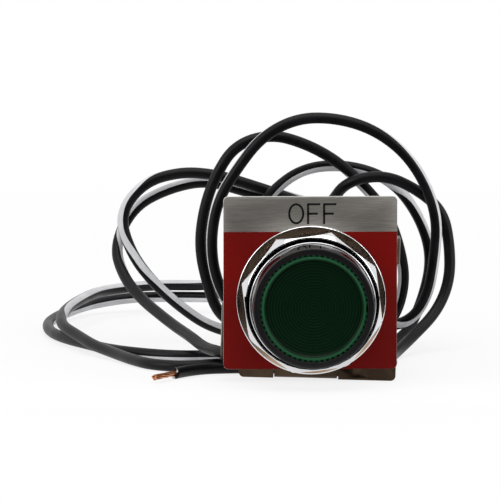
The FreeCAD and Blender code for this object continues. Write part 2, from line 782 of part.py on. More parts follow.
def make_block_screws():
    """Two slotted screws from the rear cover into the operator body."""
    head_front = cover_back - screw_head_sink - screw_head_length
    head_back = cover_back - screw_head_sink
    screws = []
    for x in (-screw_x, screw_x):
        shank = rod(screw_radius, body_back - screw_grip, head_front + weld, x, screw_z)
        head = rod(screw_head_radius, head_front, head_back, x, screw_z)
        slot = slab(x - screw_head_radius, x + screw_head_radius,
                    head_back - screw_slot_depth, head_back + cut_past,
                    screw_z - screw_slot_width / 2, screw_z + screw_slot_width / 2)
        screws.append(shank.fuse(head).cut(slot))
    return Part.makeCompound(screws)


def lead_points(route):
    return [V(x, place_depth(depth), z) for x, depth, z in route]


def make_lead(name, route):
    lead, length, radii = round_sweep(lead_diameter / 2, lead_points(route))
    expected = math.pi * lead_diameter ** 2 / 4 * length
    print(name, "length", round(length, 1), "volume ratio", round(lead.Volume / expected, 4),
          "least radius", round(min(radii), 1), "lowest", round(lead.optimalBoundingBox().ZMin, 3))
    return lead


def make_lead_end(tip, neighbour):
    """Bare strands that stand out of a lead's free end, with a rounded tip."""
    along = tip - neighbour
    along.normalize()
    strands = Part.makeCylinder(strand_diameter / 2, strip_length, tip, along)
    tip_edges = [edge for edge in strands.Edges if (edge.BoundBox.Center - tip).Length > strip_length / 2
                 and abs(edge.Length - math.pi * strand_diameter) < 0.01]
    return strands.makeFillet(strand_diameter / 6, tip_edges)


nodes = {
    "legend_plate": make_legend_plate(),
    "front_washer": make_front_washer(),
    "locking_nut": make_locking_nut(),
    "mounting_bracket": make_mounting_bracket(),
    "panel_gasket": make_panel_gasket(),
    "operator_body": make_operator_body(),
    "bushing_seal": make_bushing_seal(),
    "button_ring": make_button_ring(),
    "bezel_trim": make_bezel_trim(),
    "lens": make_lens(),
    "lens_gasket": make_lens_gasket(),
    "plunger": make_plunger(),
    "return_spring": make_return_spring(),
    "lamp_socket": make_lamp_socket(),
    "lamp_base": make_lamp_base(),
    "lamp_bulb": make_lamp_bulb(),
    "light_unit": make_light_unit(),
    "contact_block": make_contact_block(),
    "block_cover": make_block_cover(),
    "contact_carrier": make_contact_carrier(),
    "contact_bridge": make_contact_bridge(),
    "contact_spring": make_contact_spring(),
    "fixed_contact_left": make_fixed_contact(-1),
    "fixed_contact_right": make_fixed_contact(1),
    "block_screws": make_block_screws(),
}
for number, route in ((1, lead_1_route), (2, lead_2_route), (3, lead_3_route)):
    nodes["lead_%d" % number] = make_lead("lead_%d" % number, route)

free_ends = {
    "lead_end_1": lead_points(lead_1_route)[:2],
    "lead_end_2": lead_points(lead_2_route)[:-3:-1],
    "lead_end_3": lead_points(lead_3_route)[:-3:-1],
}
for name, (tip, neighbour) in free_ends.items():
    nodes[name] = make_lead_end(tip, neighbour)

for name, shape in nodes.items():
    shape.exportStep("parts/%s.step" % name)
    box = shape.optimalBoundingBox()
    print(name, "valid" if shape.isValid() else "INVALID", "solids", len(shape.Solids),
          "volume", round(shape.Volume, 2),
          "x %.2f %.2f y %.2f %.2f z %.2f %.2f" % (box.XMin, box.XMax, box.YMin, box.YMax, box.ZMin, box.ZMax))
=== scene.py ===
import bpy
import bmesh
import math
from mathutils import Matrix, Vector


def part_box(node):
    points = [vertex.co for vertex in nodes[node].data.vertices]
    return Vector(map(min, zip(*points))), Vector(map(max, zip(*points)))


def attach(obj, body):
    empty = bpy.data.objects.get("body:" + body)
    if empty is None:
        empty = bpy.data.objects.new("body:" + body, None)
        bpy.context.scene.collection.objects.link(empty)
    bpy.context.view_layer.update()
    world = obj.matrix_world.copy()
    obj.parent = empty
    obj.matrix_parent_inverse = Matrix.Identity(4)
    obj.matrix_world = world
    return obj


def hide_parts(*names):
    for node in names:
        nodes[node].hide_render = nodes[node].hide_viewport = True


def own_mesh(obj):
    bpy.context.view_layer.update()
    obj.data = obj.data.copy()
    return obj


# Illuminated pushbutton with its legend plate and loose leads. Metres, X right, Z up, Y into the panel.

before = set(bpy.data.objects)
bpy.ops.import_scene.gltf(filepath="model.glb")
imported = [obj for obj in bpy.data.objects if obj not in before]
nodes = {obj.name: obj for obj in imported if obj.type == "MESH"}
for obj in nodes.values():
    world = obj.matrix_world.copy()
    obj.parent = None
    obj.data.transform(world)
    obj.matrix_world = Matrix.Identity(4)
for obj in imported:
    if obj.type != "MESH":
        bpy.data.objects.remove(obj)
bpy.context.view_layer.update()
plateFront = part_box("legend_plate")[0][1]
ringLow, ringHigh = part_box("button_ring")
axisHeight = (ringLow[2] + ringHigh[2]) / 2
ringFront = ringLow[1]
print("frame: %d nodes" % len(nodes))


# camera at the photograph's angle
cameraSet = {
    "azimuth": -2.3, "elevation": 7.2, "distance": 1.3,
    "aimRight": -0.015655, "aimUp": 0.012683,
    "pixelsPerMetre": 3903.0, "imageWidth": 500.0, "sensor": 36.0, "clip": (0.05, 60),
}


def placeCamera(values):
    azimuth, elevation = math.radians(values["azimuth"]), math.radians(values["elevation"])
    toCamera = Vector((math.sin(azimuth) * math.cos(elevation), -math.cos(azimuth) * math.cos(elevation),
                       math.sin(elevation)))
    right = Vector((math.cos(azimuth), math.sin(azimuth), 0))
    up = toCamera.cross(right)
    middle = Vector((0, plateFront, axisHeight))
    spot = middle + toCamera * values["distance"]
    aim = middle + right * values["aimRight"] + up * values["aimUp"]
    data = bpy.data.cameras.new("photoCamera")
    data.sensor_width = values["sensor"]
    data.lens = values["sensor"] * values["pixelsPerMetre"] * (spot - aim).length / values["imageWidth"]
    data.clip_start, data.clip_end = values["clip"]
    camera = bpy.data.objects.new("photoCamera", data)
    bpy.context.collection.objects.link(camera)
    camera.location = spot
    camera.rotation_euler = (aim - spot).to_track_quat("-Z", "Y").to_euler()
    bpy.context.scene.camera = camera


placeCamera(cameraSet)
print("camera placed")


# shader helpers
def colour(red, green, blue):
    # from 0-255 screen values to the shader's linear ones
    def linear(value):
        value /= 255
        return value / 12.92 if value <= 0.04045 else ((value + 0.055) / 1.055) ** 2.4
    return (linear(red), linear(green), linear(blue), 1)


def newMaterial(name, **values):
    material = bpy.data.materials.new(name)
    material.use_nodes = True
    tree = material.node_tree
    shader = tree.nodes["Principled BSDF"]
    for socket, value in values.items():
        shader.inputs[socket.replace("_", " ")].default_value = value
    return material, tree, shader


def addNode(tree, kind, **settings):
    node = tree.nodes.new(kind)
    for key, value in settings.items():
        setattr(node, key, value)
    return node


def place(tree, output="Object"):
    return addNode(tree, "ShaderNodeTexCoord").outputs[output]


def splitPlace(tree):
    # X, Y and Z on the object
    split = addNode(tree, "ShaderNodeSeparateXYZ")
    tree.links.new(place(tree), split.inputs[0])
    return split.outputs


def feed(tree, value, socket):
    # a number or a colour is set on the socket, anything else is linked to it
    if isinstance(value, (int, float, tuple)):
        socket.default_value = value
    else:
        tree.links.new(value, socket)


def math2(tree, operation, first, second=None, clamp=False):
    node = addNode(tree, "ShaderNodeMath", operation=operation, use_clamp=clamp)
    feed(tree, first, node.inputs[0])
    if second is not None:
        feed(tree, second, node.inputs[1])
    return node.outputs[0]


def spread(tree, value, fromLow, fromHigh, toLow, toHigh):
    node = addNode(tree, "ShaderNodeMapRange")
    for index, limit in enumerate((fromLow, fromHigh, toLow, toHigh)):
        node.inputs[index + 1].default_value = limit
    tree.links.new(value, node.inputs[0])
    return node.outputs[0]


def mixValue(tree, factor, first, second):
    node = addNode(tree, "ShaderNodeMix")
    for index, value in ((0, factor), (2, first), (3, second)):
        feed(tree, value, node.inputs[index])
    return node.outputs[0]


def mixColour(tree, factor, first, second):
    node = addNode(tree, "ShaderNodeMix", data_type="RGBA", blend_type="MIX")
    for index, value in ((0, factor), (6, first), (7, second)):
        feed(tree, value, node.inputs[index])
    return node.outputs[2]


def axisRadius(tree):
    # distance from the button's axis
    at = splitPlace(tree)
    up = math2(tree, "SUBTRACT", at["Z"], axisHeight)
    square = math2(tree, "ADD", math2(tree, "POWER", at["X"], 2), math2(tree, "POWER", up, 2))
    return math2(tree, "SQRT", square)


def addBump(tree, shader, height, distance):
    bump = addNode(tree, "ShaderNodeBump")
    bump.inputs["Strength"].default_value = 1.0
    bump.inputs["Distance"].default_value = distance
    tree.links.new(height, bump.inputs["Height"])
    tree.links.new(bump.outputs[0], shader.inputs["Normal"])


def newGroup(name, inputs, outputs):
    group = bpy.data.node_groups.new(name, "ShaderNodeTree")
    for socket, kind in inputs:
        group.interface.new_socket(socket, in_out="INPUT", socket_type=kind)
    for socket, kind in outputs:
        group.interface.new_socket(socket, in_out="OUTPUT", socket_type=kind)
    return group, addNode(group, "NodeGroupInput"), addNode(group, "NodeGroupOutput")


def useGroup(tree, group, vector, **values):
    node = addNode(tree, "ShaderNodeGroup", node_tree=group)
    tree.links.new(vector, node.inputs["Vector"])
    for socket, value in values.items():
        node.inputs[socket].default_value = value
    return node


# fine grain of a moulded or plated surface, with broad soft patches over it
def makeGrainGroup():
    group, start, end = newGroup(
        "surfaceGrain",
        [("Vector", "NodeSocketVector"), ("Scale", "NodeSocketFloat"), ("Patches", "NodeSocketFloat")],
        [("Grain", "NodeSocketFloat"), ("Patch", "NodeSocketFloat")])
    for source, output, detail in (("Scale", "Grain", 4), ("Patches", "Patch", 3)):
        noise = addNode(group, "ShaderNodeTexNoise")
        noise.inputs["Detail"].default_value = detail
        group.links.new(start.outputs["Vector"], noise.inputs["Vector"])
        group.links.new(start.outputs[source], noise.inputs["Scale"])
        group.links.new(noise.outputs["Fac"], end.inputs[output])
    return group


# long brushed lines: noise stretched by Stretch, and broader streaks of the same noise
streakShare = 0.22


def makeBrushGroup():
    group, start, end = newGroup(
        "brushedLines",
        [("Vector", "NodeSocketVector"), ("Stretch", "NodeSocketVector"), ("Scale", "NodeSocketFloat")],
        [("Lines", "NodeSocketFloat"), ("Streaks", "NodeSocketFloat")])
    stretch = addNode(group, "ShaderNodeVectorMath", operation="MULTIPLY")
    group.links.new(start.outputs["Vector"], stretch.inputs[0])
    group.links.new(start.outputs["Stretch"], stretch.inputs[1])
    for output, share in (("Lines", 1.0), ("Streaks", streakShare)):
        scale = addNode(group, "ShaderNodeMath", operation="MULTIPLY")
        scale.inputs[1].default_value = share
        group.links.new(start.outputs["Scale"], scale.inputs[0])
        noise = addNode(group, "ShaderNodeTexNoise")
        noise.inputs["Detail"].default_value = 3
        group.links.new(stretch.outputs[0], noise.inputs["Vector"])
        group.links.new(scale.outputs[0], noise.inputs["Scale"])
        group.links.new(noise.outputs["Fac"], end.inputs[output])
    return group


grainGroup, brushGroup = makeGrainGroup(), makeBrushGroup()

# parts of a noise's range over which a colour or a roughness runs from one end to the other
edgedPatch = (0.38, 0.62)
softPatch = (0.35, 0.65)
roughSpan = (0.3, 0.7)


def useGrain(tree, values):
    return useGroup(tree, grainGroup, place(tree), Scale=values["grain"], Patches=values["patches"])


def patchMix(tree, grain, first, second, span=softPatch):
    # two colours in broad patches
    share = spread(tree, grain.outputs["Patch"], *span, 0, 1)
    return mixColour(tree, share, colour(*first), colour(*second))


def noiseRough(tree, noise, limits):
    return spread(tree, noise, *roughSpan, *limits)


# plain finishes: base colour, its darker patch, roughness range, grain
finishes = {
    "blackMoulding": {"base": (27, 26, 28), "patch": (20, 19, 21), "metallic": 0, "rough": (0.36, 0.52),
                      "grain": 2600, "patches": 60, "depth": 0.00004},
    "sealRubber": {"base": (20, 20, 21), "patch": (14, 14, 15), "metallic": 0, "rough": (0.6, 0.8),
                   "grain": 3200, "patches": 80, "depth": 0.00005},
    "naturalMoulding": {"base": (196, 190, 176), "patch": (184, 177, 162), "metallic": 0, "rough": (0.35, 0.5),
                        "grain": 2400, "patches": 70, "depth": 0.00003},
    "bracketZinc": {"base": (76, 62, 50), "patch": (56, 45, 36), "metallic": 1, "rough": (0.22, 0.36),
                    "grain": 1500, "patches": 130, "depth": 0.00002},
    "nutChrome": {"base": (226, 226, 228), "patch": (218, 218, 220), "metallic": 1, "rough": (0.03, 0.07),
                  "grain": 900, "patches": 90, "depth": 0.000002},
    "springWire": {"base": (168, 168, 170), "patch": (140, 140, 143), "metallic": 1, "rough": (0.2, 0.35),
                   "grain": 2200, "patches": 200, "depth": 0.00001},
    "screwZinc": {"base": (176, 172, 160), "patch": (150, 144, 128), "metallic": 1, "rough": (0.22, 0.38),
                  "grain": 1800, "patches": 180, "depth": 0.00001},
    "turnedBrass": {"base": (190, 158, 96), "patch": (168, 132, 72), "metallic": 1, "rough": (0.18, 0.32),
                    "grain": 1600, "patches": 150, "depth": 0.00001},
    "bareCopper": {"base": (206, 142, 104), "patch": (150, 92, 60), "metallic": 1, "rough": (0.25, 0.42),
                   "grain": 2600, "patches": 420, "depth": 0.00001},
}


def makeFinish(name, values):
    material, tree, shader = newMaterial(name, Metallic=values["metallic"])
    grain = useGrain(tree, values)
    feed(tree, patchMix(tree, grain, values["base"], values["patch"], edgedPatch), shader.inputs["Base Color"])
    feed(tree, noiseRough(tree, grain.outputs["Patch"], values["rough"]), shader.inputs["Roughness"])
    addBump(tree, shader, grain.outputs["Grain"], values["depth"])
    return material


materials = {name: makeFinish(name, values) for name, values in finishes.items()}
print("%d plain finishes" % len(materials))


# legend sheet: brushed silver above, satin red field below, bare metal edges
legendSet = {
    "fieldTop": 0.01748, "paintDepth": 0.00006, "silver": (246, 240, 231), "silverDark": (222, 216, 207),
    "red": (108, 9, 6), "redDark": (96, 8, 5), "edge": (205, 205, 205), "lineScale": 5200,
    "lineStretch": (0.05, 1, 1), "lineDepth": 0.000004, "metalRough": (0.38, 0.41), "paintRough": (0.4, 0.5),
    "paintGloss": 0.07, "grain": 1800, "patches": 45,
}


def makeLegendMaterial(values):
    material, tree, shader = newMaterial("legendSheet", Specular_IOR_Level=values["paintGloss"])
    brush = useGroup(tree, brushGroup, place(tree), Scale=values["lineScale"], Stretch=values["lineStretch"])
    grain = useGrain(tree, values)
    at = splitPlace(tree)
    low = math2(tree, "LESS_THAN", at["Z"], axisHeight + values["fieldTop"])
    front = math2(tree, "LESS_THAN", at["Y"], plateFront + values["paintDepth"])
    painted = math2(tree, "MULTIPLY", low, front)
    metal = math2(tree, "SUBTRACT", 1.0, painted)
    lines = spread(tree, brush.outputs["Lines"], *softPatch, 0, 1)
    silver = mixColour(tree, lines, colour(*values["silver"]), colour(*values["silverDark"]))
    edge = addNode(tree, "ShaderNodeAttribute", attribute_name="edge")
    bare = mixColour(tree, edge.outputs["Fac"], silver, colour(*values["edge"]))
    red = patchMix(tree, grain, values["red"], values["redDark"])
    feed(tree, mixColour(tree, painted, bare, red), shader.inputs["Base Color"])
    feed(tree, metal, shader.inputs["Metallic"])
    metalRough = noiseRough(tree, brush.outputs["Streaks"], values["metalRough"])
    paintRough = noiseRough(tree, grain.outputs["Patch"], values["paintRough"])
    feed(tree, mixValue(tree, painted, metalRough, paintRough), shader.inputs["Roughness"])
    addBump(tree, shader, math2(tree, "MULTIPLY", brush.outputs["Lines"], metal), values["lineDepth"])
    return material


# printed ink
inkSet = {"base": (12, 11, 10), "patch": (26, 23, 20), "rough": 0.7, "gloss": 0.1, "grain": 2500,
          "patches": 300}


def makeInkMaterial(values):
    material, tree, shader = newMaterial("legendInk", Roughness=values["rough"],
                                         Specular_IOR_Level=values["gloss"])
    grain = useGrain(tree, values)
    shade = mixColour(tree, grain.outputs["Patch"], colour(*values["base"]), colour(*values["patch"]))
    feed(tree, shade, shader.inputs["Base Color"])
    return material


# button ring: satin front, polished sides
ringSet = {
    "front": (14, 14, 16), "side": (12, 12, 14), "patch": (24, 23, 26), "patchSpan": (0.4, 0.7),
    "patchShare": 0.35, "frontDepth": 0.00045, "frontFade": 0.6, "frontRough": 0.42, "sideRough": 0.05,
    "gloss": 0.3, "ior": 1.55, "grain": 2400, "patches": 110, "depth": 0.00002,
}


def makeRingMaterial(values):
    material, tree, shader = newMaterial("ringMoulding", IOR=values["ior"], Specular_IOR_Level=values["gloss"])
    grain = useGrain(tree, values)
    onFront = spread(tree, splitPlace(tree)["Y"], ringFront + values["frontFade"] * values["frontDepth"],
                     ringFront + values["frontDepth"], 1, 0)
    shade = mixColour(tree, onFront, colour(*values["side"]), colour(*values["front"]))
    share = spread(tree, grain.outputs["Patch"], *values["patchSpan"], 0, values["patchShare"])
    feed(tree, mixColour(tree, share, shade, colour(*values["patch"])), shader.inputs["Base Color"])
    rough = spread(tree, onFront, 0, 1, values["sideRough"], values["frontRough"])
    feed(tree, rough, shader.inputs["Roughness"])
    addBump(tree, shader, math2(tree, "MULTIPLY", grain.outputs["Grain"], onFront), values["depth"])
    return material


# lens: deep green with faint concentric rings of painted light and shade, and a painted glow of light through
# the rim bead
# the second, lighter green paints highlights on the prism rings against the deep green
lensSet = {
    "deep": (1, 14, 6), "light": (7, 36, 16), "rim": (26, 74, 46), "rough": (0.26, 0.34), "gloss": 0.15,
    "ior": 1.49, "ringPitch": 0.000757, "ringFade": (0.5, 1), "glowInner": 0.0125, "glowOuter": 0.0127,
    "grain": 900, "patches": 120, "depth": 0.000004,
}


def makeLensMaterial(values):
    material, tree, shader = newMaterial("greenLens", IOR=values["ior"], Specular_IOR_Level=values["gloss"])
    grain = useGrain(tree, values)
    radius = axisRadius(tree)
    # the rim colour across the bead is painted light: a glow of light passing through the bead
    onRim = spread(tree, radius, values["glowInner"], values["glowOuter"], 0, 1)
    # sine banding by radius lightens and darkens alternate rings: painted light and shade of the prism rings
    ringShading = math2(tree, "SINE", math2(tree, "MULTIPLY", radius, 2 * math.pi / values["ringPitch"]))
    ringShading = math2(tree, "MULTIPLY", ringShading, spread(tree, grain.outputs["Patch"], *softPatch, *values["ringFade"]))
    body = mixColour(tree, spread(tree, ringShading, -1, 1, 0, 1), colour(*values["deep"]), colour(*values["light"]))
    feed(tree, mixColour(tree, onRim, body, colour(*values["rim"])), shader.inputs["Base Color"])
    feed(tree, noiseRough(tree, grain.outputs["Patch"], values["rough"]), shader.inputs["Roughness"])
    addBump(tree, shader, grain.outputs["Grain"], values["depth"])
    return material


# lamp glass
glassSet = {"base": (236, 238, 240), "patch": (222, 226, 228), "rough": (0.02, 0.08), "ior": 1.5,
            "clear": 0.9, "grain": 600, "patches": 90}


def makeGlassMaterial(values):
    material, tree, shader = newMaterial("lampGlass", IOR=values["ior"], Transmission_Weight=values["clear"])
    grain = useGrain(tree, values)
    shade = mixColour(tree, grain.outputs["Patch"], colour(*values["base"]), colour(*values["patch"]))
    feed(tree, shade, shader.inputs["Base Color"])
    feed(tree, noiseRough(tree, grain.outputs["Grain"], values["rough"]), shader.inputs["Roughness"])
    return material


# lead sleeve: dark vinyl with one white stripe along its length
sleeveSet = {
    "dark": (11, 10, 12), "darkPatch": (17, 16, 19), "stripe": (214, 214, 216), "stripePatch": (200, 200, 203),
    "halfStripe": 0.103, "softness": 0.005, "rough": (0.34, 0.46), "gloss": 0.16, "grain": 2000,
    "patches": 140, "depth": 0.00002,
}


def makeSleeveMaterial(values):
    material, tree, shader = newMaterial("leadSleeve", Specular_IOR_Level=values["gloss"])
    grain = useGrain(tree, values)
    split = addNode(tree, "ShaderNodeSeparateXYZ")
    tree.links.new(place(tree, "UV"), split.inputs[0])
    offset = math2(tree, "ABSOLUTE", math2(tree, "SUBTRACT", split.outputs["Y"], 0.5))
    halfStripe, softness = values["halfStripe"], values["softness"]
    onStripe = spread(tree, offset, halfStripe - softness, halfStripe + softness, 1, 0)
    dark = patchMix(tree, grain, values["dark"], values["darkPatch"])
    white = patchMix(tree, grain, values["stripe"], values["stripePatch"])
    feed(tree, mixColour(tree, onStripe, dark, white), shader.inputs["Base Color"])
    feed(tree, noiseRough(tree, grain.outputs["Patch"], values["rough"]), shader.inputs["Roughness"])
    addBump(tree, shader, grain.outputs["Grain"], values["depth"])
    return material


# washer: brownish zinc, its turned rim polished bright
washerSet = {
    "face": (188, 164, 141), "patch": (164, 140, 117), "rim": (232, 232, 234), "rimFrom": 0.01878,
    "rimTo": 0.01888, "faceRough": (0.2, 0.32), "rimRough": 0.08, "grain": 1800, "patches": 160,
    "depth": 0.00001,
}


def makeWasherMaterial(values):
    material, tree, shader = newMaterial("washerZinc", Metallic=1)
    grain = useGrain(tree, values)
    onRim = spread(tree, axisRadius(tree), values["rimFrom"], values["rimTo"], 0, 1)
    face = patchMix(tree, grain, values["face"], values["patch"], edgedPatch)
    feed(tree, mixColour(tree, onRim, face, colour(*values["rim"])), shader.inputs["Base Color"])
    faceRough = noiseRough(tree, grain.outputs["Patch"], values["faceRough"])
    feed(tree, mixValue(tree, onRim, faceRough, values["rimRough"]), shader.inputs["Roughness"])
    addBump(tree, shader, grain.outputs["Grain"], values["depth"])
    return material


materials["washerZinc"] = makeWasherMaterial(washerSet)
materials["legendSheet"] = makeLegendMaterial(legendSet)
materials["legendInk"] = makeInkMaterial(inkSet)
materials["ringMoulding"] = makeRingMaterial(ringSet)
materials["greenLens"] = makeLensMaterial(lensSet)
materials["lampGlass"] = makeGlassMaterial(glassSet)
materials["leadSleeve"] = makeSleeveMaterial(sleeveSet)
print("%d materials" % len(materials))


def newPiece(name, mesh, material, body, smoothAngle=None):
    # smoothAngle in degrees: edges sharper than it stay crisp
    if smoothAngle is not None:
        for face in mesh.polygons:
            face.use_smooth = True
        mesh.set_sharp_from_angle(angle=math.radians(smoothAngle))
    mesh.materials.append(materials[material])
    piece = bpy.data.objects.new(name, mesh)
    bpy.context.collection.objects.link(piece)
    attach(piece, body)
    return piece


def meshFrom(bm, name):
    bmesh.ops.recalc_face_normals(bm, faces=bm.faces)
    mesh = bpy.data.meshes.new(name)
    bm.to_mesh(mesh)
    bm.free()
    return mesh


# loose leads: each point is x, depth behind the legend plate's front, and height
leadSet = {"diameter": 0.003, "sides": 20, "resolution": 8}

leadRoutes = {
    "lead_1": [
        (-0.0349, 0.0062, 0.0015), (-0.0295, 0.0144, 0.0015), (-0.0195, 0.0165, 0.0015),
        (-0.007, 0.016, 0.0015), (0.005, 0.0145, 0.0015), (0.0135, 0.0152, 0.0015), (0.018, 0.0205, 0.0015),
        (0.019, 0.031, 0.0015), (0.0183, 0.044, 0.0015), (0.0195, 0.057, 0.0015), (0.028, 0.067, 0.002),
        (0.0334, 0.072, 0.0125), (0.0357, 0.0715, 0.0242), (0.0318, 0.0715, 0.0357),
        (0.0243, 0.0715, 0.045), (0.0129, 0.0715, 0.0489), (0.0007, 0.0715, 0.0482),
        (-0.0086, 0.073, 0.0409), (-0.0145, 0.08, 0.0305), (-0.013, 0.0915, 0.026), (-0.011, 0.103, 0.021),
        (-0.0075, 0.113, 0.015), (-0.0055, 0.124, 0.0095), (-0.01, 0.1345, 0.005), (-0.0215, 0.139, 0.0045),
        (-0.0341, 0.1416, 0.0044), (-0.0452, 0.1429, 0.0041), (-0.0559, 0.1377, 0.0031),
        (-0.0616, 0.1277, 0.0026), (-0.0656, 0.1178, 0.0022), (-0.0685, 0.1057, 0.0019),
        (-0.0686, 0.0949, 0.0017), (-0.0669, 0.0838, 0.0016), (-0.0629, 0.0733, 0.0015),
        (-0.0575, 0.0633, 0.0015), (-0.0526, 0.0532, 0.0015), (-0.0445, 0.045, 0.0015),
        (-0.0347, 0.0388, 0.0015), (-0.0245, 0.0385, 0.0016), (-0.015, 0.0385, 0.0016),
    ],
    "lead_2": [
        (-0.015, 0.022, 0.0018), (-0.022, 0.022, 0.0018), (-0.0315, 0.0185, 0.0015),
        (-0.0406, 0.0223, 0.0015), (-0.046, 0.0322, 0.0016), (-0.0504, 0.0423, 0.0019),
        (-0.0559, 0.0518, 0.0027), (-0.0601, 0.0619, 0.004), (-0.0643, 0.0722, 0.0052),
        (-0.065, 0.0823, 0.0064), (-0.0633, 0.0944, 0.0071), (-0.0607, 0.1049, 0.0076),
        (-0.0575, 0.1151, 0.008), (-0.054, 0.1256, 0.008), (-0.0468, 0.1341, 0.008),
        (-0.0372, 0.1397, 0.008), (-0.026, 0.1404, 0.0077), (-0.0145, 0.1305, 0.0095),
        (-0.006, 0.127, 0.015), (0, 0.119, 0.02), (0.0025, 0.11, 0.025), (0.003, 0.1, 0.0295),
        (0.0045, 0.09, 0.0325), (0.006, 0.08, 0.035), (0.008, 0.0705, 0.0385), (0.012, 0.0642, 0.0451),
        (0.0219, 0.0635, 0.047), (0.0306, 0.064, 0.0432), (0.038, 0.064, 0.0371), (0.0398, 0.063, 0.0278),
        (0.0397, 0.0612, 0.0185), (0.0361, 0.058, 0.0106), (0.029, 0.0515, 0.0045), (0.024, 0.0425, 0.0015),
        (0.022, 0.0325, 0.0015), (0.0223, 0.021, 0.0015), (0.016, 0.0123, 0.0015), (0.006, 0.009, 0.0015),
        (-0.005, 0.0096, 0.0015), (-0.0155, 0.0103, 0.0035), (-0.0225, 0.017, 0.0055),
        (-0.0267, 0.0275, 0.0051), (-0.0302, 0.0375, 0.0068), (-0.0341, 0.0475, 0.0082),
        (-0.0386, 0.057, 0.0106), (-0.043, 0.0665, 0.0132), (-0.0477, 0.075, 0.018),
        (-0.0503, 0.0835, 0.0255), (-0.0453, 0.085, 0.036), (-0.0357, 0.084, 0.0413),
        (-0.025, 0.083, 0.0437), (-0.0145, 0.083, 0.0405), (-0.0065, 0.0825, 0.0385),
        (-0.0015, 0.0815, 0.033), (-0.0005, 0.081, 0.025),
    ],
    "lead_3": [
        (0.006, 0.057, 0.036), (0.006, 0.063, 0.036), (0.0035, 0.0725, 0.038), (-0.0035, 0.079, 0.0395),
        (-0.013, 0.0795, 0.0426), (-0.0226, 0.079, 0.0456), (-0.0326, 0.0795, 0.0463),
        (-0.0424, 0.08, 0.0433), (-0.0489, 0.08, 0.0347), (-0.0459, 0.079, 0.0245), (-0.04, 0.077, 0.0166),
        (-0.0327, 0.0745, 0.0102), (-0.0246, 0.073, 0.0047), (-0.0145, 0.072, 0.0025),
        (-0.005, 0.0725, 0.0015), (0.0045, 0.0725, 0.002), (0.013, 0.0697, 0.0058), (0.02, 0.0629, 0.0058),
        (0.0289, 0.0604, 0.0073), (0.0338, 0.0604, 0.0145), (0.0356, 0.0605, 0.0249),
        (0.0363, 0.0605, 0.0352), (0.033, 0.0605, 0.0452), (0.0272, 0.0605, 0.0536),
        (0.0187, 0.0605, 0.0597), (0.0087, 0.0605, 0.0626), (-0.0016, 0.0605, 0.0625),
        (-0.0109, 0.0605, 0.0575), (-0.0174, 0.0605, 0.0491), (-0.0226, 0.0605, 0.0405),
        (-0.0245, 0.0605, 0.0301), (-0.0234, 0.0605, 0.0199), (-0.019, 0.0605, 0.011),
        (-0.012, 0.061, 0.004), (-0.0025, 0.062, 0.0018), (0.007, 0.0633, 0.0015), (0.0165, 0.0658, 0.0015),
        (0.025, 0.068, 0.0065), (0.0282, 0.068, 0.0171), (0.0267, 0.068, 0.0267), (0.0234, 0.068, 0.0358),
        (0.017, 0.068, 0.0435), (0.0098, 0.068, 0.0502), (0.0014, 0.068, 0.0549), (-0.008, 0.067, 0.0577),
        (-0.0178, 0.066, 0.0549), (-0.0233, 0.066, 0.0462), (-0.0263, 0.066, 0.0371),
        (-0.0274, 0.066, 0.0273), (-0.0254, 0.066, 0.0176), (-0.0225, 0.0663, 0.0092),
        (-0.0165, 0.0676, 0.0054), (-0.009, 0.0715, 0.0055), (-0.0058, 0.078, 0.0044),
        (-0.005, 0.086, 0.0016), (-0.005, 0.094, 0.0016),
    ],
}

# which way the stripe faces from a route point onwards, turning evenly to the next
stripeSides = {
    "lead_1": [
        (0, (0, 0.7, -0.7)), (7, (0, 0.7, -0.7)), (11, (1, 0.2, -0.1)), (12, (0.95, -0.3, 0)),
        (13, (0.8, -0.5, 0.3)), (14, (-0.1, -0.75, -0.65)), (16, (0.4, -0.75, -0.5)), (17, (0.8, -0.6, 0)),
        (21, (0.2, -0.7, -0.6)), (24, (0, -0.75, -0.65)), (27, (0.5, -0.7, -0.5)), (31, (0.9, 0, -0.4)),
        (34, (0.5, -0.5, -0.7)), (36, (0, -0.7, -0.7)), (39, (0, -0.7, -0.7)),
    ],
    "lead_2": [
        (0, (0, 0.5, -0.8)), (7, (0.5, 0.3, -0.8)), (10, (0.6, 0, 0.8)), (13, (0.3, -0.4, 0.85)),
        (17, (0, -0.4, 0.9)), (20, (0.7, 0, 0.7)), (25, (0, 1, 0)), (37, (0, 1, 0)), (40, (0.8, 0.5, 0.3)),
        (46, (0.8, 0.55, 0.2)), (47, (0.9, -0.25, 0.2)), (48, (-0.2, -0.6, 0.75)), (50, (0, -0.5, 0.85)),
        (54, (0.5, -0.5, 0.7)),
    ],
    "lead_3": [
        (0, (0, 0, 1)), (5, (0, 0.6, 0.8)), (6, (-0.3, 0.35, 0.85)), (7, (-0.65, -0.5, 0.55)),
        (8, (-0.6, -0.8, 0)), (9, (0.25, -0.95, 0.2)), (10, (0.6, -0.75, 0.4)), (12, (0.6, -0.7, 0.5)),
        (16, (0.3, -0.7, 0.6)), (19, (0.9, -0.3, -0.2)), (22, (0.9, -0.3, 0.3)), (25, (0.1, 0.5, 0.85)),
        (28, (-0.9, 0.2, 0.3)), (32, (-0.9, 0.1, 0)), (36, (0, 0.5, -0.8)), (38, (-0.9, -0.45, 0)),
        (41, (-0.7, -0.5, -0.5)), (43, (0, 0.7, -0.7)), (46, (1, 0.4, 0)), (53, (0, 0.8, 0.6)),
    ],
}


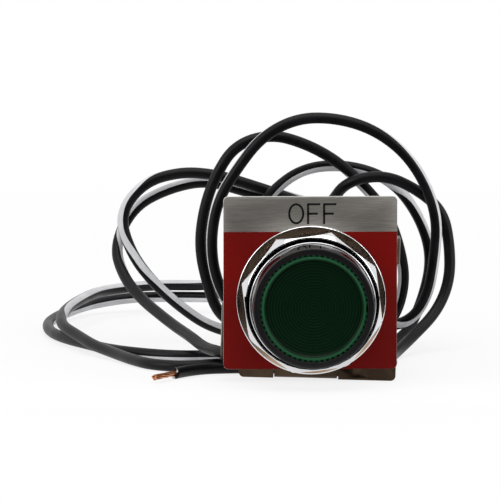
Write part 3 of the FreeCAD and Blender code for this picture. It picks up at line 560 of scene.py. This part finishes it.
def routeLine(name, points):
    # the smooth line that a lead follows, read from its NURBS spline
    data = bpy.data.curves.new(name + "_line", "CURVE")
    data.dimensions = "3D"
    data.resolution_u = leadSet["resolution"]
    spline = data.splines.new("NURBS")
    spline.points.add(len(points) - 1)
    for point, (x, depth, z) in zip(spline.points, points):
        point.co = (x, plateFront + depth, z, 1)
    spline.order_u = 3
    spline.use_endpoint_u = True
    line = bpy.data.objects.new(name + "_line", data)
    bpy.context.collection.objects.link(line)
    bpy.context.view_layer.update()
    mesh = bpy.data.meshes.new_from_object(line.evaluated_get(bpy.context.evaluated_depsgraph_get()))
    path = [vertex.co.copy() for vertex in mesh.vertices]
    bpy.data.objects.remove(line)
    return path


def sideAt(sides, share, count):
    # stripe direction at a share of the route's points
    index = share * (count - 1)
    for (start, first), (end, second) in zip(sides, sides[1:]):
        if index <= end:
            blend = min(1, max(0, (index - start) / (end - start)))
            blend = blend * blend * (3 - 2 * blend)
            return Vector(first).normalized().lerp(Vector(second).normalized(), blend)
    return Vector(sides[-1][1])


def tubeAlong(path, radius, sides, facing):
    # a grid rolled round the path, the middle of its UV turned the way that facing(share) gives
    bm = bmesh.new()
    bm.loops.layers.uv.new("UVMap")
    last = len(path) - 1
    bmesh.ops.create_grid(bm, x_segments=last, y_segments=sides, size=0.5, calc_uvs=True)
    frames = []
    for index, point in enumerate(path):
        along = (path[min(index + 1, last)] - path[max(index - 1, 0)]).normalized()
        look = facing(index / last)
        look = (look - along * look.dot(along)).normalized()
        frames.append((point, look, along.cross(look)))
    for vert in bm.verts:
        point, look, across = frames[round((vert.co.x + 0.5) * last)]
        turn = (vert.co.y + 0.5) * 2 * math.pi
        vert.co = point + (across * math.sin(turn) - look * math.cos(turn)) * radius
    bmesh.ops.remove_doubles(bm, verts=bm.verts, dist=1e-6)
    bmesh.ops.holes_fill(bm, edges=[edge for edge in bm.edges if edge.is_boundary], sides=0)
    return bm


def makeLead(name, exitFirst):
    path = routeLine(name, leadRoutes[name])
    count = len(leadRoutes[name])
    sides = stripeSides[name]
    bm = tubeAlong(path, leadSet["diameter"] / 2, leadSet["sides"], lambda share: sideAt(sides, share, count))
    lead = newPiece(name + "_sleeve", meshFrom(bm, name), "leadSleeve", "housing", 60)
    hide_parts(name)
    return lead, path if exitFirst else path[::-1]


# bare strands: six wires twisted round a middle one, cut a little unevenly
strandSet = {
    "strands": 6, "wire": 0.00027, "pitchRadius": 0.00047, "turns": 0.5, "steps": 26, "sides": 8,
    "length": 0.0095, "uneven": 0.0004, "unevenTurn": 2.4, "splay": 0.1, "sideLean": 0.3,
}


def makeStrands(name, leadPath, values):
    # the lead's path ends where the strands stand out
    tip = leadPath[-1]
    along = (leadPath[-1] - leadPath[-2]).normalized()
    side = along.orthogonal().normalized()
    across = along.cross(side)
    whole = bmesh.new()
    for number in range(values["strands"] + 1):
        length = values["length"] - values["uneven"] * (0.5 + 0.5 * math.sin(values["unevenTurn"] * number))
        start = 2 * math.pi * number / values["strands"]
        path = []
        for step in range(values["steps"] + 1):
            share = step / values["steps"]
            turn = start + 2 * math.pi * values["turns"] * share
            reach = values["pitchRadius"] * (1 + values["splay"] * share ** 3)
            if number == values["strands"]:
                reach = 0.0
            outward = side * math.cos(turn) + across * math.sin(turn)
            path.append(tip + along * length * share + outward * reach)
        facing = side + across * values["sideLean"]
        wire = tubeAlong(path, values["wire"], values["sides"], lambda share: facing)
        mesh = meshFrom(wire, "wire")
        whole.from_mesh(mesh)
        bpy.data.meshes.remove(mesh)
    strands = newPiece(name + "_strands", meshFrom(whole, name), "bareCopper", "housing", 60)
    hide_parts(name)
    return strands


for number, name in enumerate(leadRoutes, 1):
    lead, path = makeLead(name, exitFirst=name != "lead_1")
    strands = makeStrands("lead_end_%d" % number, path, strandSet)
print("leads made")


# CAD nodes that keep their shape, cleaned, with their sharp edges broken. Angles in degrees.
mergeDistance = 2e-6
flatAngle = 0.4
edgeDefaults = {"segments": 2, "sharp": 28, "smooth": 32}
edgeSets = {
    "legend_plate": {"piece": "legend_sheet", "material": "legendSheet", "slot": "legend_plate",
                     "width": 0.00012},
    "locking_nut": {"piece": "octagon_nut", "material": "nutChrome", "slot": "nut_chrome", "width": 0.00018,
                    "segments": 3, "sharp": 14, "smooth": 40},
    "front_washer": {"piece": "front_washer_ring", "material": "washerZinc", "slot": "washer_zinc",
                     "width": 0.00012, "segments": 3},
    "mounting_bracket": {"piece": "folded_bracket", "material": "bracketZinc", "slot": "bracket_zinc",
                         "width": 0.0001},
    "light_unit": {"piece": "light_unit_case", "material": "blackMoulding", "slot": "black_plastic",
                   "width": 0.0002},
    "contact_block": {"piece": "contact_block_case", "material": "blackMoulding", "slot": "black_plastic",
                      "width": 0.0002},
    "block_cover": {"piece": "rear_cover", "material": "blackMoulding", "slot": "black_plastic",
                    "width": 0.0002},
    "operator_body": {"piece": "operator_barrel", "material": "blackMoulding", "slot": "black_plastic",
                      "width": 0.00015},
}


def brokenEdges(nodeName, values):
    bm = bmesh.new()
    bm.from_mesh(nodes[nodeName].data)
    bmesh.ops.remove_doubles(bm, verts=bm.verts, dist=mergeDistance)
    bmesh.ops.dissolve_limit(bm, angle_limit=math.radians(flatAngle), verts=bm.verts, edges=bm.edges)
    limit = math.radians(values["sharp"])
    marked = [edge for edge in bm.edges if len(edge.link_faces) == 2 and edge.calc_face_angle(0) > limit]
    edgeMark = bm.faces.layers.float.new("edge")
    broken = bmesh.ops.bevel(bm, geom=marked, offset=values["width"], segments=values["segments"], profile=0.5,
                             affect="EDGES", material=-1, clamp_overlap=True)
    for face in broken["faces"]:
        face[edgeMark] = 1.0
    piece = newPiece(values["piece"], meshFrom(bm, values["piece"]), values["material"], "housing",
                     values["smooth"])
    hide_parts(nodeName)


for name, values in edgeSets.items():
    brokenEdges(name, {**edgeDefaults, **values})
print("sheet metal, nut and housings dressed")


def spinProfile(points, steps=180):
    # full turn of an outline of (radius, depth) points about the button's axis
    bm = bmesh.new()
    verts = [bm.verts.new((radius, depth, 0)) for radius, depth in points]
    edges = [bm.edges.new(pair) for pair in zip(verts, verts[1:])]
    bmesh.ops.spin(bm, geom=verts + edges, cent=(0, 0, 0), axis=(0, 1, 0), dvec=(0, 0, 0), angle=2 * math.pi,
                   steps=steps, use_merge=True)
    bmesh.ops.remove_doubles(bm, verts=bm.verts, dist=1e-6)
    bmesh.ops.transform(bm, matrix=Matrix.Translation((0, plateFront, axisHeight)), verts=bm.verts)
    return bm


def roundCorner(middle, start, sweep, radius, count=6):
    # points of a rounded corner, angles in degrees from the +radius direction towards +depth
    points = []
    for step in range(count + 1):
        turn = math.radians(start + sweep * step / count)
        points.append((middle[0] + radius * math.cos(turn), middle[1] + radius * math.sin(turn)))
    return points


# button ring
ringShape = {"outer": 0.0154, "foot": 0.01595, "trimSeat": 0.0155, "trimFront": -0.0117, "bore": 0.0137,
             "front": -0.0188, "back": -0.0081, "edge": 0.00045, "lip": 0.0002, "seat": -0.0142,
             "webBack": -0.0117, "web": 0.0096, "skirt": 0.0142}


def makeButtonRing(values):
    outer, bore, front, edge = values["outer"], values["bore"], values["front"], values["edge"]
    points = roundCorner((outer - edge, front + edge), 0, -90, edge)
    points += roundCorner((bore + values["lip"], front + values["lip"]), -90, -90, values["lip"], 3)
    points += [(bore, values["seat"]), (values["web"], values["seat"]), (values["web"], values["webBack"]),
               (values["skirt"], values["webBack"]), (values["skirt"], values["back"]),
               (values["trimSeat"], values["back"]), (values["trimSeat"], values["trimFront"]),
               (values["foot"], values["trimFront"])]
    points.append(points[0])
    piece = newPiece("button_bezel", meshFrom(spinProfile(points), "button_bezel"), "ringMoulding", "button",
                     30)
    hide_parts("button_ring")


# bright trim round the ring's foot
trimShape = {"outer": 0.0161, "inner": 0.01555, "front": -0.0117, "back": -0.0092, "edge": 0.0002}


def makeTrim(values):
    outer, inner, front, back, edge = (values[key] for key in ("outer", "inner", "front", "back", "edge"))
    points = roundCorner((outer - edge, front + edge), 0, -90, edge)
    points += [(inner, front), (inner, back), (outer, back)]
    points.append(points[0])
    piece = newPiece("trim_band", meshFrom(spinProfile(points), "trim_band"), "nutChrome", "button",
                     30)
    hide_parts("bezel_trim")


# lens: dished face with fine prism rings, a raised rim bead and a toothed collar
lensShape = {
    "outer": 0.0136, "toothDepth": 0.00035, "toothRoot": 0.0003, "toothLength": 0.0009, "teeth": 60,
    "collarWall": 0.0006, "front": -0.0187, "back": -0.015, "bead": 0.0008, "beadRound": 0.00035,
    "dish": 0.0008, "wall": 0.0016, "lip": 0.0015, "boss": 0.0009, "rings": 15, "ringHeight": 0.00007,
    "ringMargin": 0.0004, "ringProfile": ((0.3, -0.5), (0.5, -0.35), (1, 0.5)),
}


def lensOutline(values):
    # (radius, depth) points from the middle of the face, round the rim and back
    body = values["outer"] - values["toothDepth"]
    inner = body - values["bead"]
    face = values["front"] + values["dish"]
    pitch = (inner - values["ringMargin"] - values["boss"]) / values["rings"]
    crest = face + values["ringProfile"][-1][1] * values["ringHeight"]
    points = [(0, face), (values["boss"], crest)]
    for ring in range(values["rings"]):
        start = values["boss"] + ring * pitch
        points += [(start + along * pitch, face + rise * values["ringHeight"])
                   for along, rise in values["ringProfile"]]
    bead = values["beadRound"]
    points += roundCorner((inner + bead, values["front"] + bead), 180, 90, bead, 5)
    points += roundCorner((body - bead, values["front"] + bead), -90, 90, bead, 5)
    points += [(body, values["back"]), (body - values["lip"], values["back"]),
               (body - values["lip"], face + values["wall"]), (0, face + values["wall"])]
    return points


def makeLens(values):
    bm = spinProfile(lensOutline(values))
    outer, long = values["outer"], values["toothLength"]
    body = outer - values["toothDepth"]
    toothFront = values["front"] + values["beadRound"]
    deep = values["toothDepth"] + values["toothRoot"]
    tooth = bmesh.ops.create_cube(bm, size=1)["verts"]
    size = Matrix.Diagonal((deep, long, math.pi * outer / values["teeth"], 1))
    shift = Matrix.Translation((outer - deep / 2, toothFront + long / 2, 0))
    bmesh.ops.transform(bm, matrix=shift @ size, verts=tooth)
    faces = list({face for vert in tooth for face in vert.link_faces})
    bmesh.ops.transform(bm, matrix=Matrix.Translation((0, plateFront, axisHeight)), verts=tooth)
    bmesh.ops.spin(bm, geom=faces, cent=(0, 0, axisHeight), axis=(0, 1, 0), dvec=(0, 0, 0), angle=2 * math.pi,
                   steps=values["teeth"], use_duplicate=True)
    wall = body - values["collarWall"]
    collar = [(wall, toothFront + long), (outer, toothFront + long), (outer, values["back"]),
              (wall, values["back"])]
    band = meshFrom(spinProfile(collar + [collar[0]]), "lensCollar")
    bm.from_mesh(band)
    bpy.data.meshes.remove(band)
    piece = newPiece("lens_disc", meshFrom(bm, "lens_disc"), "greenLens", "button", 30)
    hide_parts("lens")


makeButtonRing(ringShape)
makeTrim(trimShape)
makeLens(lensShape)
print("button ring and lens made")


# OFF on the silver band, plain thin strokes
wordSet = {
    "middle": 0.00027, "height": 0.02213, "tall": 0.0054, "stroke": 0.00054, "thick": 0.00003,
    "oWide": 0.0041, "oAt": -0.0041, "oSides": 72, "fWide": 0.0034, "fAt": (-0.00133, 0.00277),
    "armShare": 0.81,
}


def makeWord(values):
    bm = bmesh.new()
    tall, stroke, thick = values["tall"], values["stroke"], values["thick"]
    for inset in (0, stroke):
        circle = bmesh.ops.create_circle(bm, segments=values["oSides"], radius=1)["verts"]
        grow = Matrix.Diagonal((values["oWide"] / 2 - inset, tall / 2 - inset, 1, 1))
        bmesh.ops.transform(bm, matrix=Matrix.Translation((values["oAt"], 0, 0)) @ grow, verts=circle)
    bmesh.ops.bridge_loops(bm, edges=bm.edges)
    wide = values["fWide"]
    short = values["armShare"] * wide
    for left in values["fAt"]:
        bars = [(left + stroke / 2, 0, stroke, tall),
                (left + wide / 2, tall / 2 - stroke / 2, wide, stroke),
                (left + short / 2, 0, short, stroke)]
        for x, y, width, height in bars:
            bar = bmesh.ops.create_grid(bm, x_segments=1, y_segments=1, size=0.5)["verts"]
            grow = Matrix.Diagonal((width, height, 1, 1))
            bmesh.ops.transform(bm, matrix=Matrix.Translation((x, y, 0)) @ grow, verts=bar)
    bmesh.ops.solidify(bm, geom=bm.faces[:], thickness=thick)
    stand = Matrix.Translation((values["middle"], plateFront - thick * 0.5, axisHeight + values["height"]))
    bmesh.ops.transform(bm, matrix=stand @ Matrix.Rotation(math.pi / 2, 4, "X"), verts=bm.verts)
    newPiece("off_legend", meshFrom(bm, "off_legend"), "legendInk", "housing")


makeWord(wordSet)
print("legend printed")


# springs: each coil is a cleaned copy of its CAD node; the table lists the joint and the fixed end of each
springSet = {
    "return_spring": {"piece": "return_coil", "joint": "push", "fixedEnd": 0.00055},
    "contact_spring": {"piece": "contact_coil", "joint": "carrier_slide", "fixedEnd": 0.03425},
}


def makeSpring(nodeName, values):
    bm = bmesh.new()
    bm.from_mesh(nodes[nodeName].data)
    bmesh.ops.remove_doubles(bm, verts=bm.verts, dist=1e-6)
    coil = newPiece(values["piece"], meshFrom(bm, values["piece"]), "springWire", "housing", 40)
    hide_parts(nodeName)
    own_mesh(coil)


for name, values in springSet.items():
    makeSpring(name, values)
print("springs made")


# the other CAD nodes keep their shape and take a finish
nodeFinishes = {
    "panel_gasket": "sealRubber", "bushing_seal": "sealRubber", "lens_gasket": "sealRubber",
    "plunger": "blackMoulding", "lamp_socket": "turnedBrass", "lamp_base": "turnedBrass",
    "lamp_bulb": "lampGlass", "contact_carrier": "naturalMoulding", "contact_bridge": "bareCopper",
    "fixed_contact_left": "bareCopper", "fixed_contact_right": "bareCopper", "block_screws": "screwZinc",
}
for name, finish in nodeFinishes.items():
    data = nodes[name].data
    if not nodes[name].material_slots:
        data.materials.append(materials[finish])
    for materialSlot in nodes[name].material_slots:
        materialSlot.material = materials[finish]
print("%d nodes finished" % len(nodeFinishes))


# studio: white floor and surroundings, soft lamps, two dark flags that only gloss sees; the one lying on the
# floor paints a dark floor into the reflections
studioSet = {
    "floorSize": 12.0, "floorWhite": 0.9, "floorRough": 0.9, "nearFade": 0.15, "farFade": 0.5, "nearGlow": 0.8,
    "world": 0.55, "flagDark": 0.004,
    "lamps": [
        ("topLamp", (0.0, -0.25, 1.0), 0.9, 5.0),
        ("leftLamp", (-0.9, -0.6, 0.5), 0.6, 4.0),
        ("rightLamp", (0.9, -0.5, 0.5), 0.6, 3.0),
    ],
    "flags": [
        ("frontFlag", (0, -1.9, 0.3), (math.pi / 2, 0, 0), 2.6),
        # this card lies on the white floor and only reflections see it: a painted dark reflection of the floor
        ("darkFloorReflection", (0, -1.36, 0.0006), (0, 0, 0), 2.6),
    ],
}


def addStage(name, size, material):
    bm = bmesh.new()
    bmesh.ops.create_grid(bm, x_segments=1, y_segments=1, size=size / 2)
    mesh = bpy.data.meshes.new(name)
    bm.to_mesh(mesh)
    bm.free()
    mesh.materials.append(material)
    thing = bpy.data.objects.new(name, mesh)
    bpy.context.collection.objects.link(thing)
    return thing


def seenRay(tree):
    # 1 for rays from the camera, a glossy surface or through glass
    rays = addNode(tree, "ShaderNodeLightPath").outputs
    seen = math2(tree, "ADD", rays["Is Camera Ray"], rays["Is Glossy Ray"], clamp=True)
    return math2(tree, "ADD", seen, rays["Is Transmission Ray"], clamp=True)


def makeFloor(values):
    # white to the eye from farFade outwards, and shaded by the object nearer than that
    material, tree, shader = newMaterial("floorWhite", Roughness=values["floorRough"])
    shader.inputs["Base Color"].default_value = (values["floorWhite"],) * 3 + (1,)
    glow = addNode(tree, "ShaderNodeEmission")
    mix = addNode(tree, "ShaderNodeMixShader")
    far = addNode(tree, "ShaderNodeVectorMath", operation="LENGTH")
    tree.links.new(place(tree), far.inputs[0])
    fade = spread(tree, far.outputs["Value"], values["nearFade"], values["farFade"], values["nearGlow"], 1)
    tree.links.new(math2(tree, "MULTIPLY", seenRay(tree), fade), mix.inputs[0])
    tree.links.new(shader.outputs[0], mix.inputs[1])
    tree.links.new(glow.outputs[0], mix.inputs[2])
    tree.links.new(mix.outputs[0], tree.nodes["Material Output"].inputs["Surface"])
    addStage("floor", values["floorSize"], material)


def makeFlags(values):
    black, tree, shader = newMaterial("flagBlack", Roughness=1, Specular_IOR_Level=0)
    shader.inputs["Base Color"].default_value = (values["flagDark"],) * 3 + (1,)
    for name, spot, turn, size in values["flags"]:
        flag = addStage(name, size, black)
        flag.location, flag.rotation_euler = spot, turn
        for kind in ("camera", "diffuse", "shadow", "transmission"):
            setattr(flag, "visible_" + kind, False)


def makeLamps(values):
    for name, spot, size, power in values["lamps"]:
        data = bpy.data.lights.new(name, "AREA")
        data.shape, data.size, data.energy = "SQUARE", size, power
        lamp = bpy.data.objects.new(name, data)
        bpy.context.collection.objects.link(lamp)
        lamp.location = spot
        lamp.rotation_euler = (Vector((0, 0, axisHeight)) - Vector(spot)).to_track_quat("-Z", "Y").to_euler()


def makeWorld(values):
    world = bpy.data.worlds.new("studio")
    bpy.context.scene.world = world
    world.use_nodes = True
    tree = world.node_tree
    background = tree.nodes["Background"]
    background.inputs["Color"].default_value = (1, 1, 1, 1)
    tree.links.new(spread(tree, seenRay(tree), 0, 1, values["world"], 1), background.inputs["Strength"])


makeFloor(studioSet)
makeFlags(studioSet)
makeLamps(studioSet)
makeWorld(studioSet)
bpy.context.scene.view_settings.view_transform = "Standard"
print("studio set")
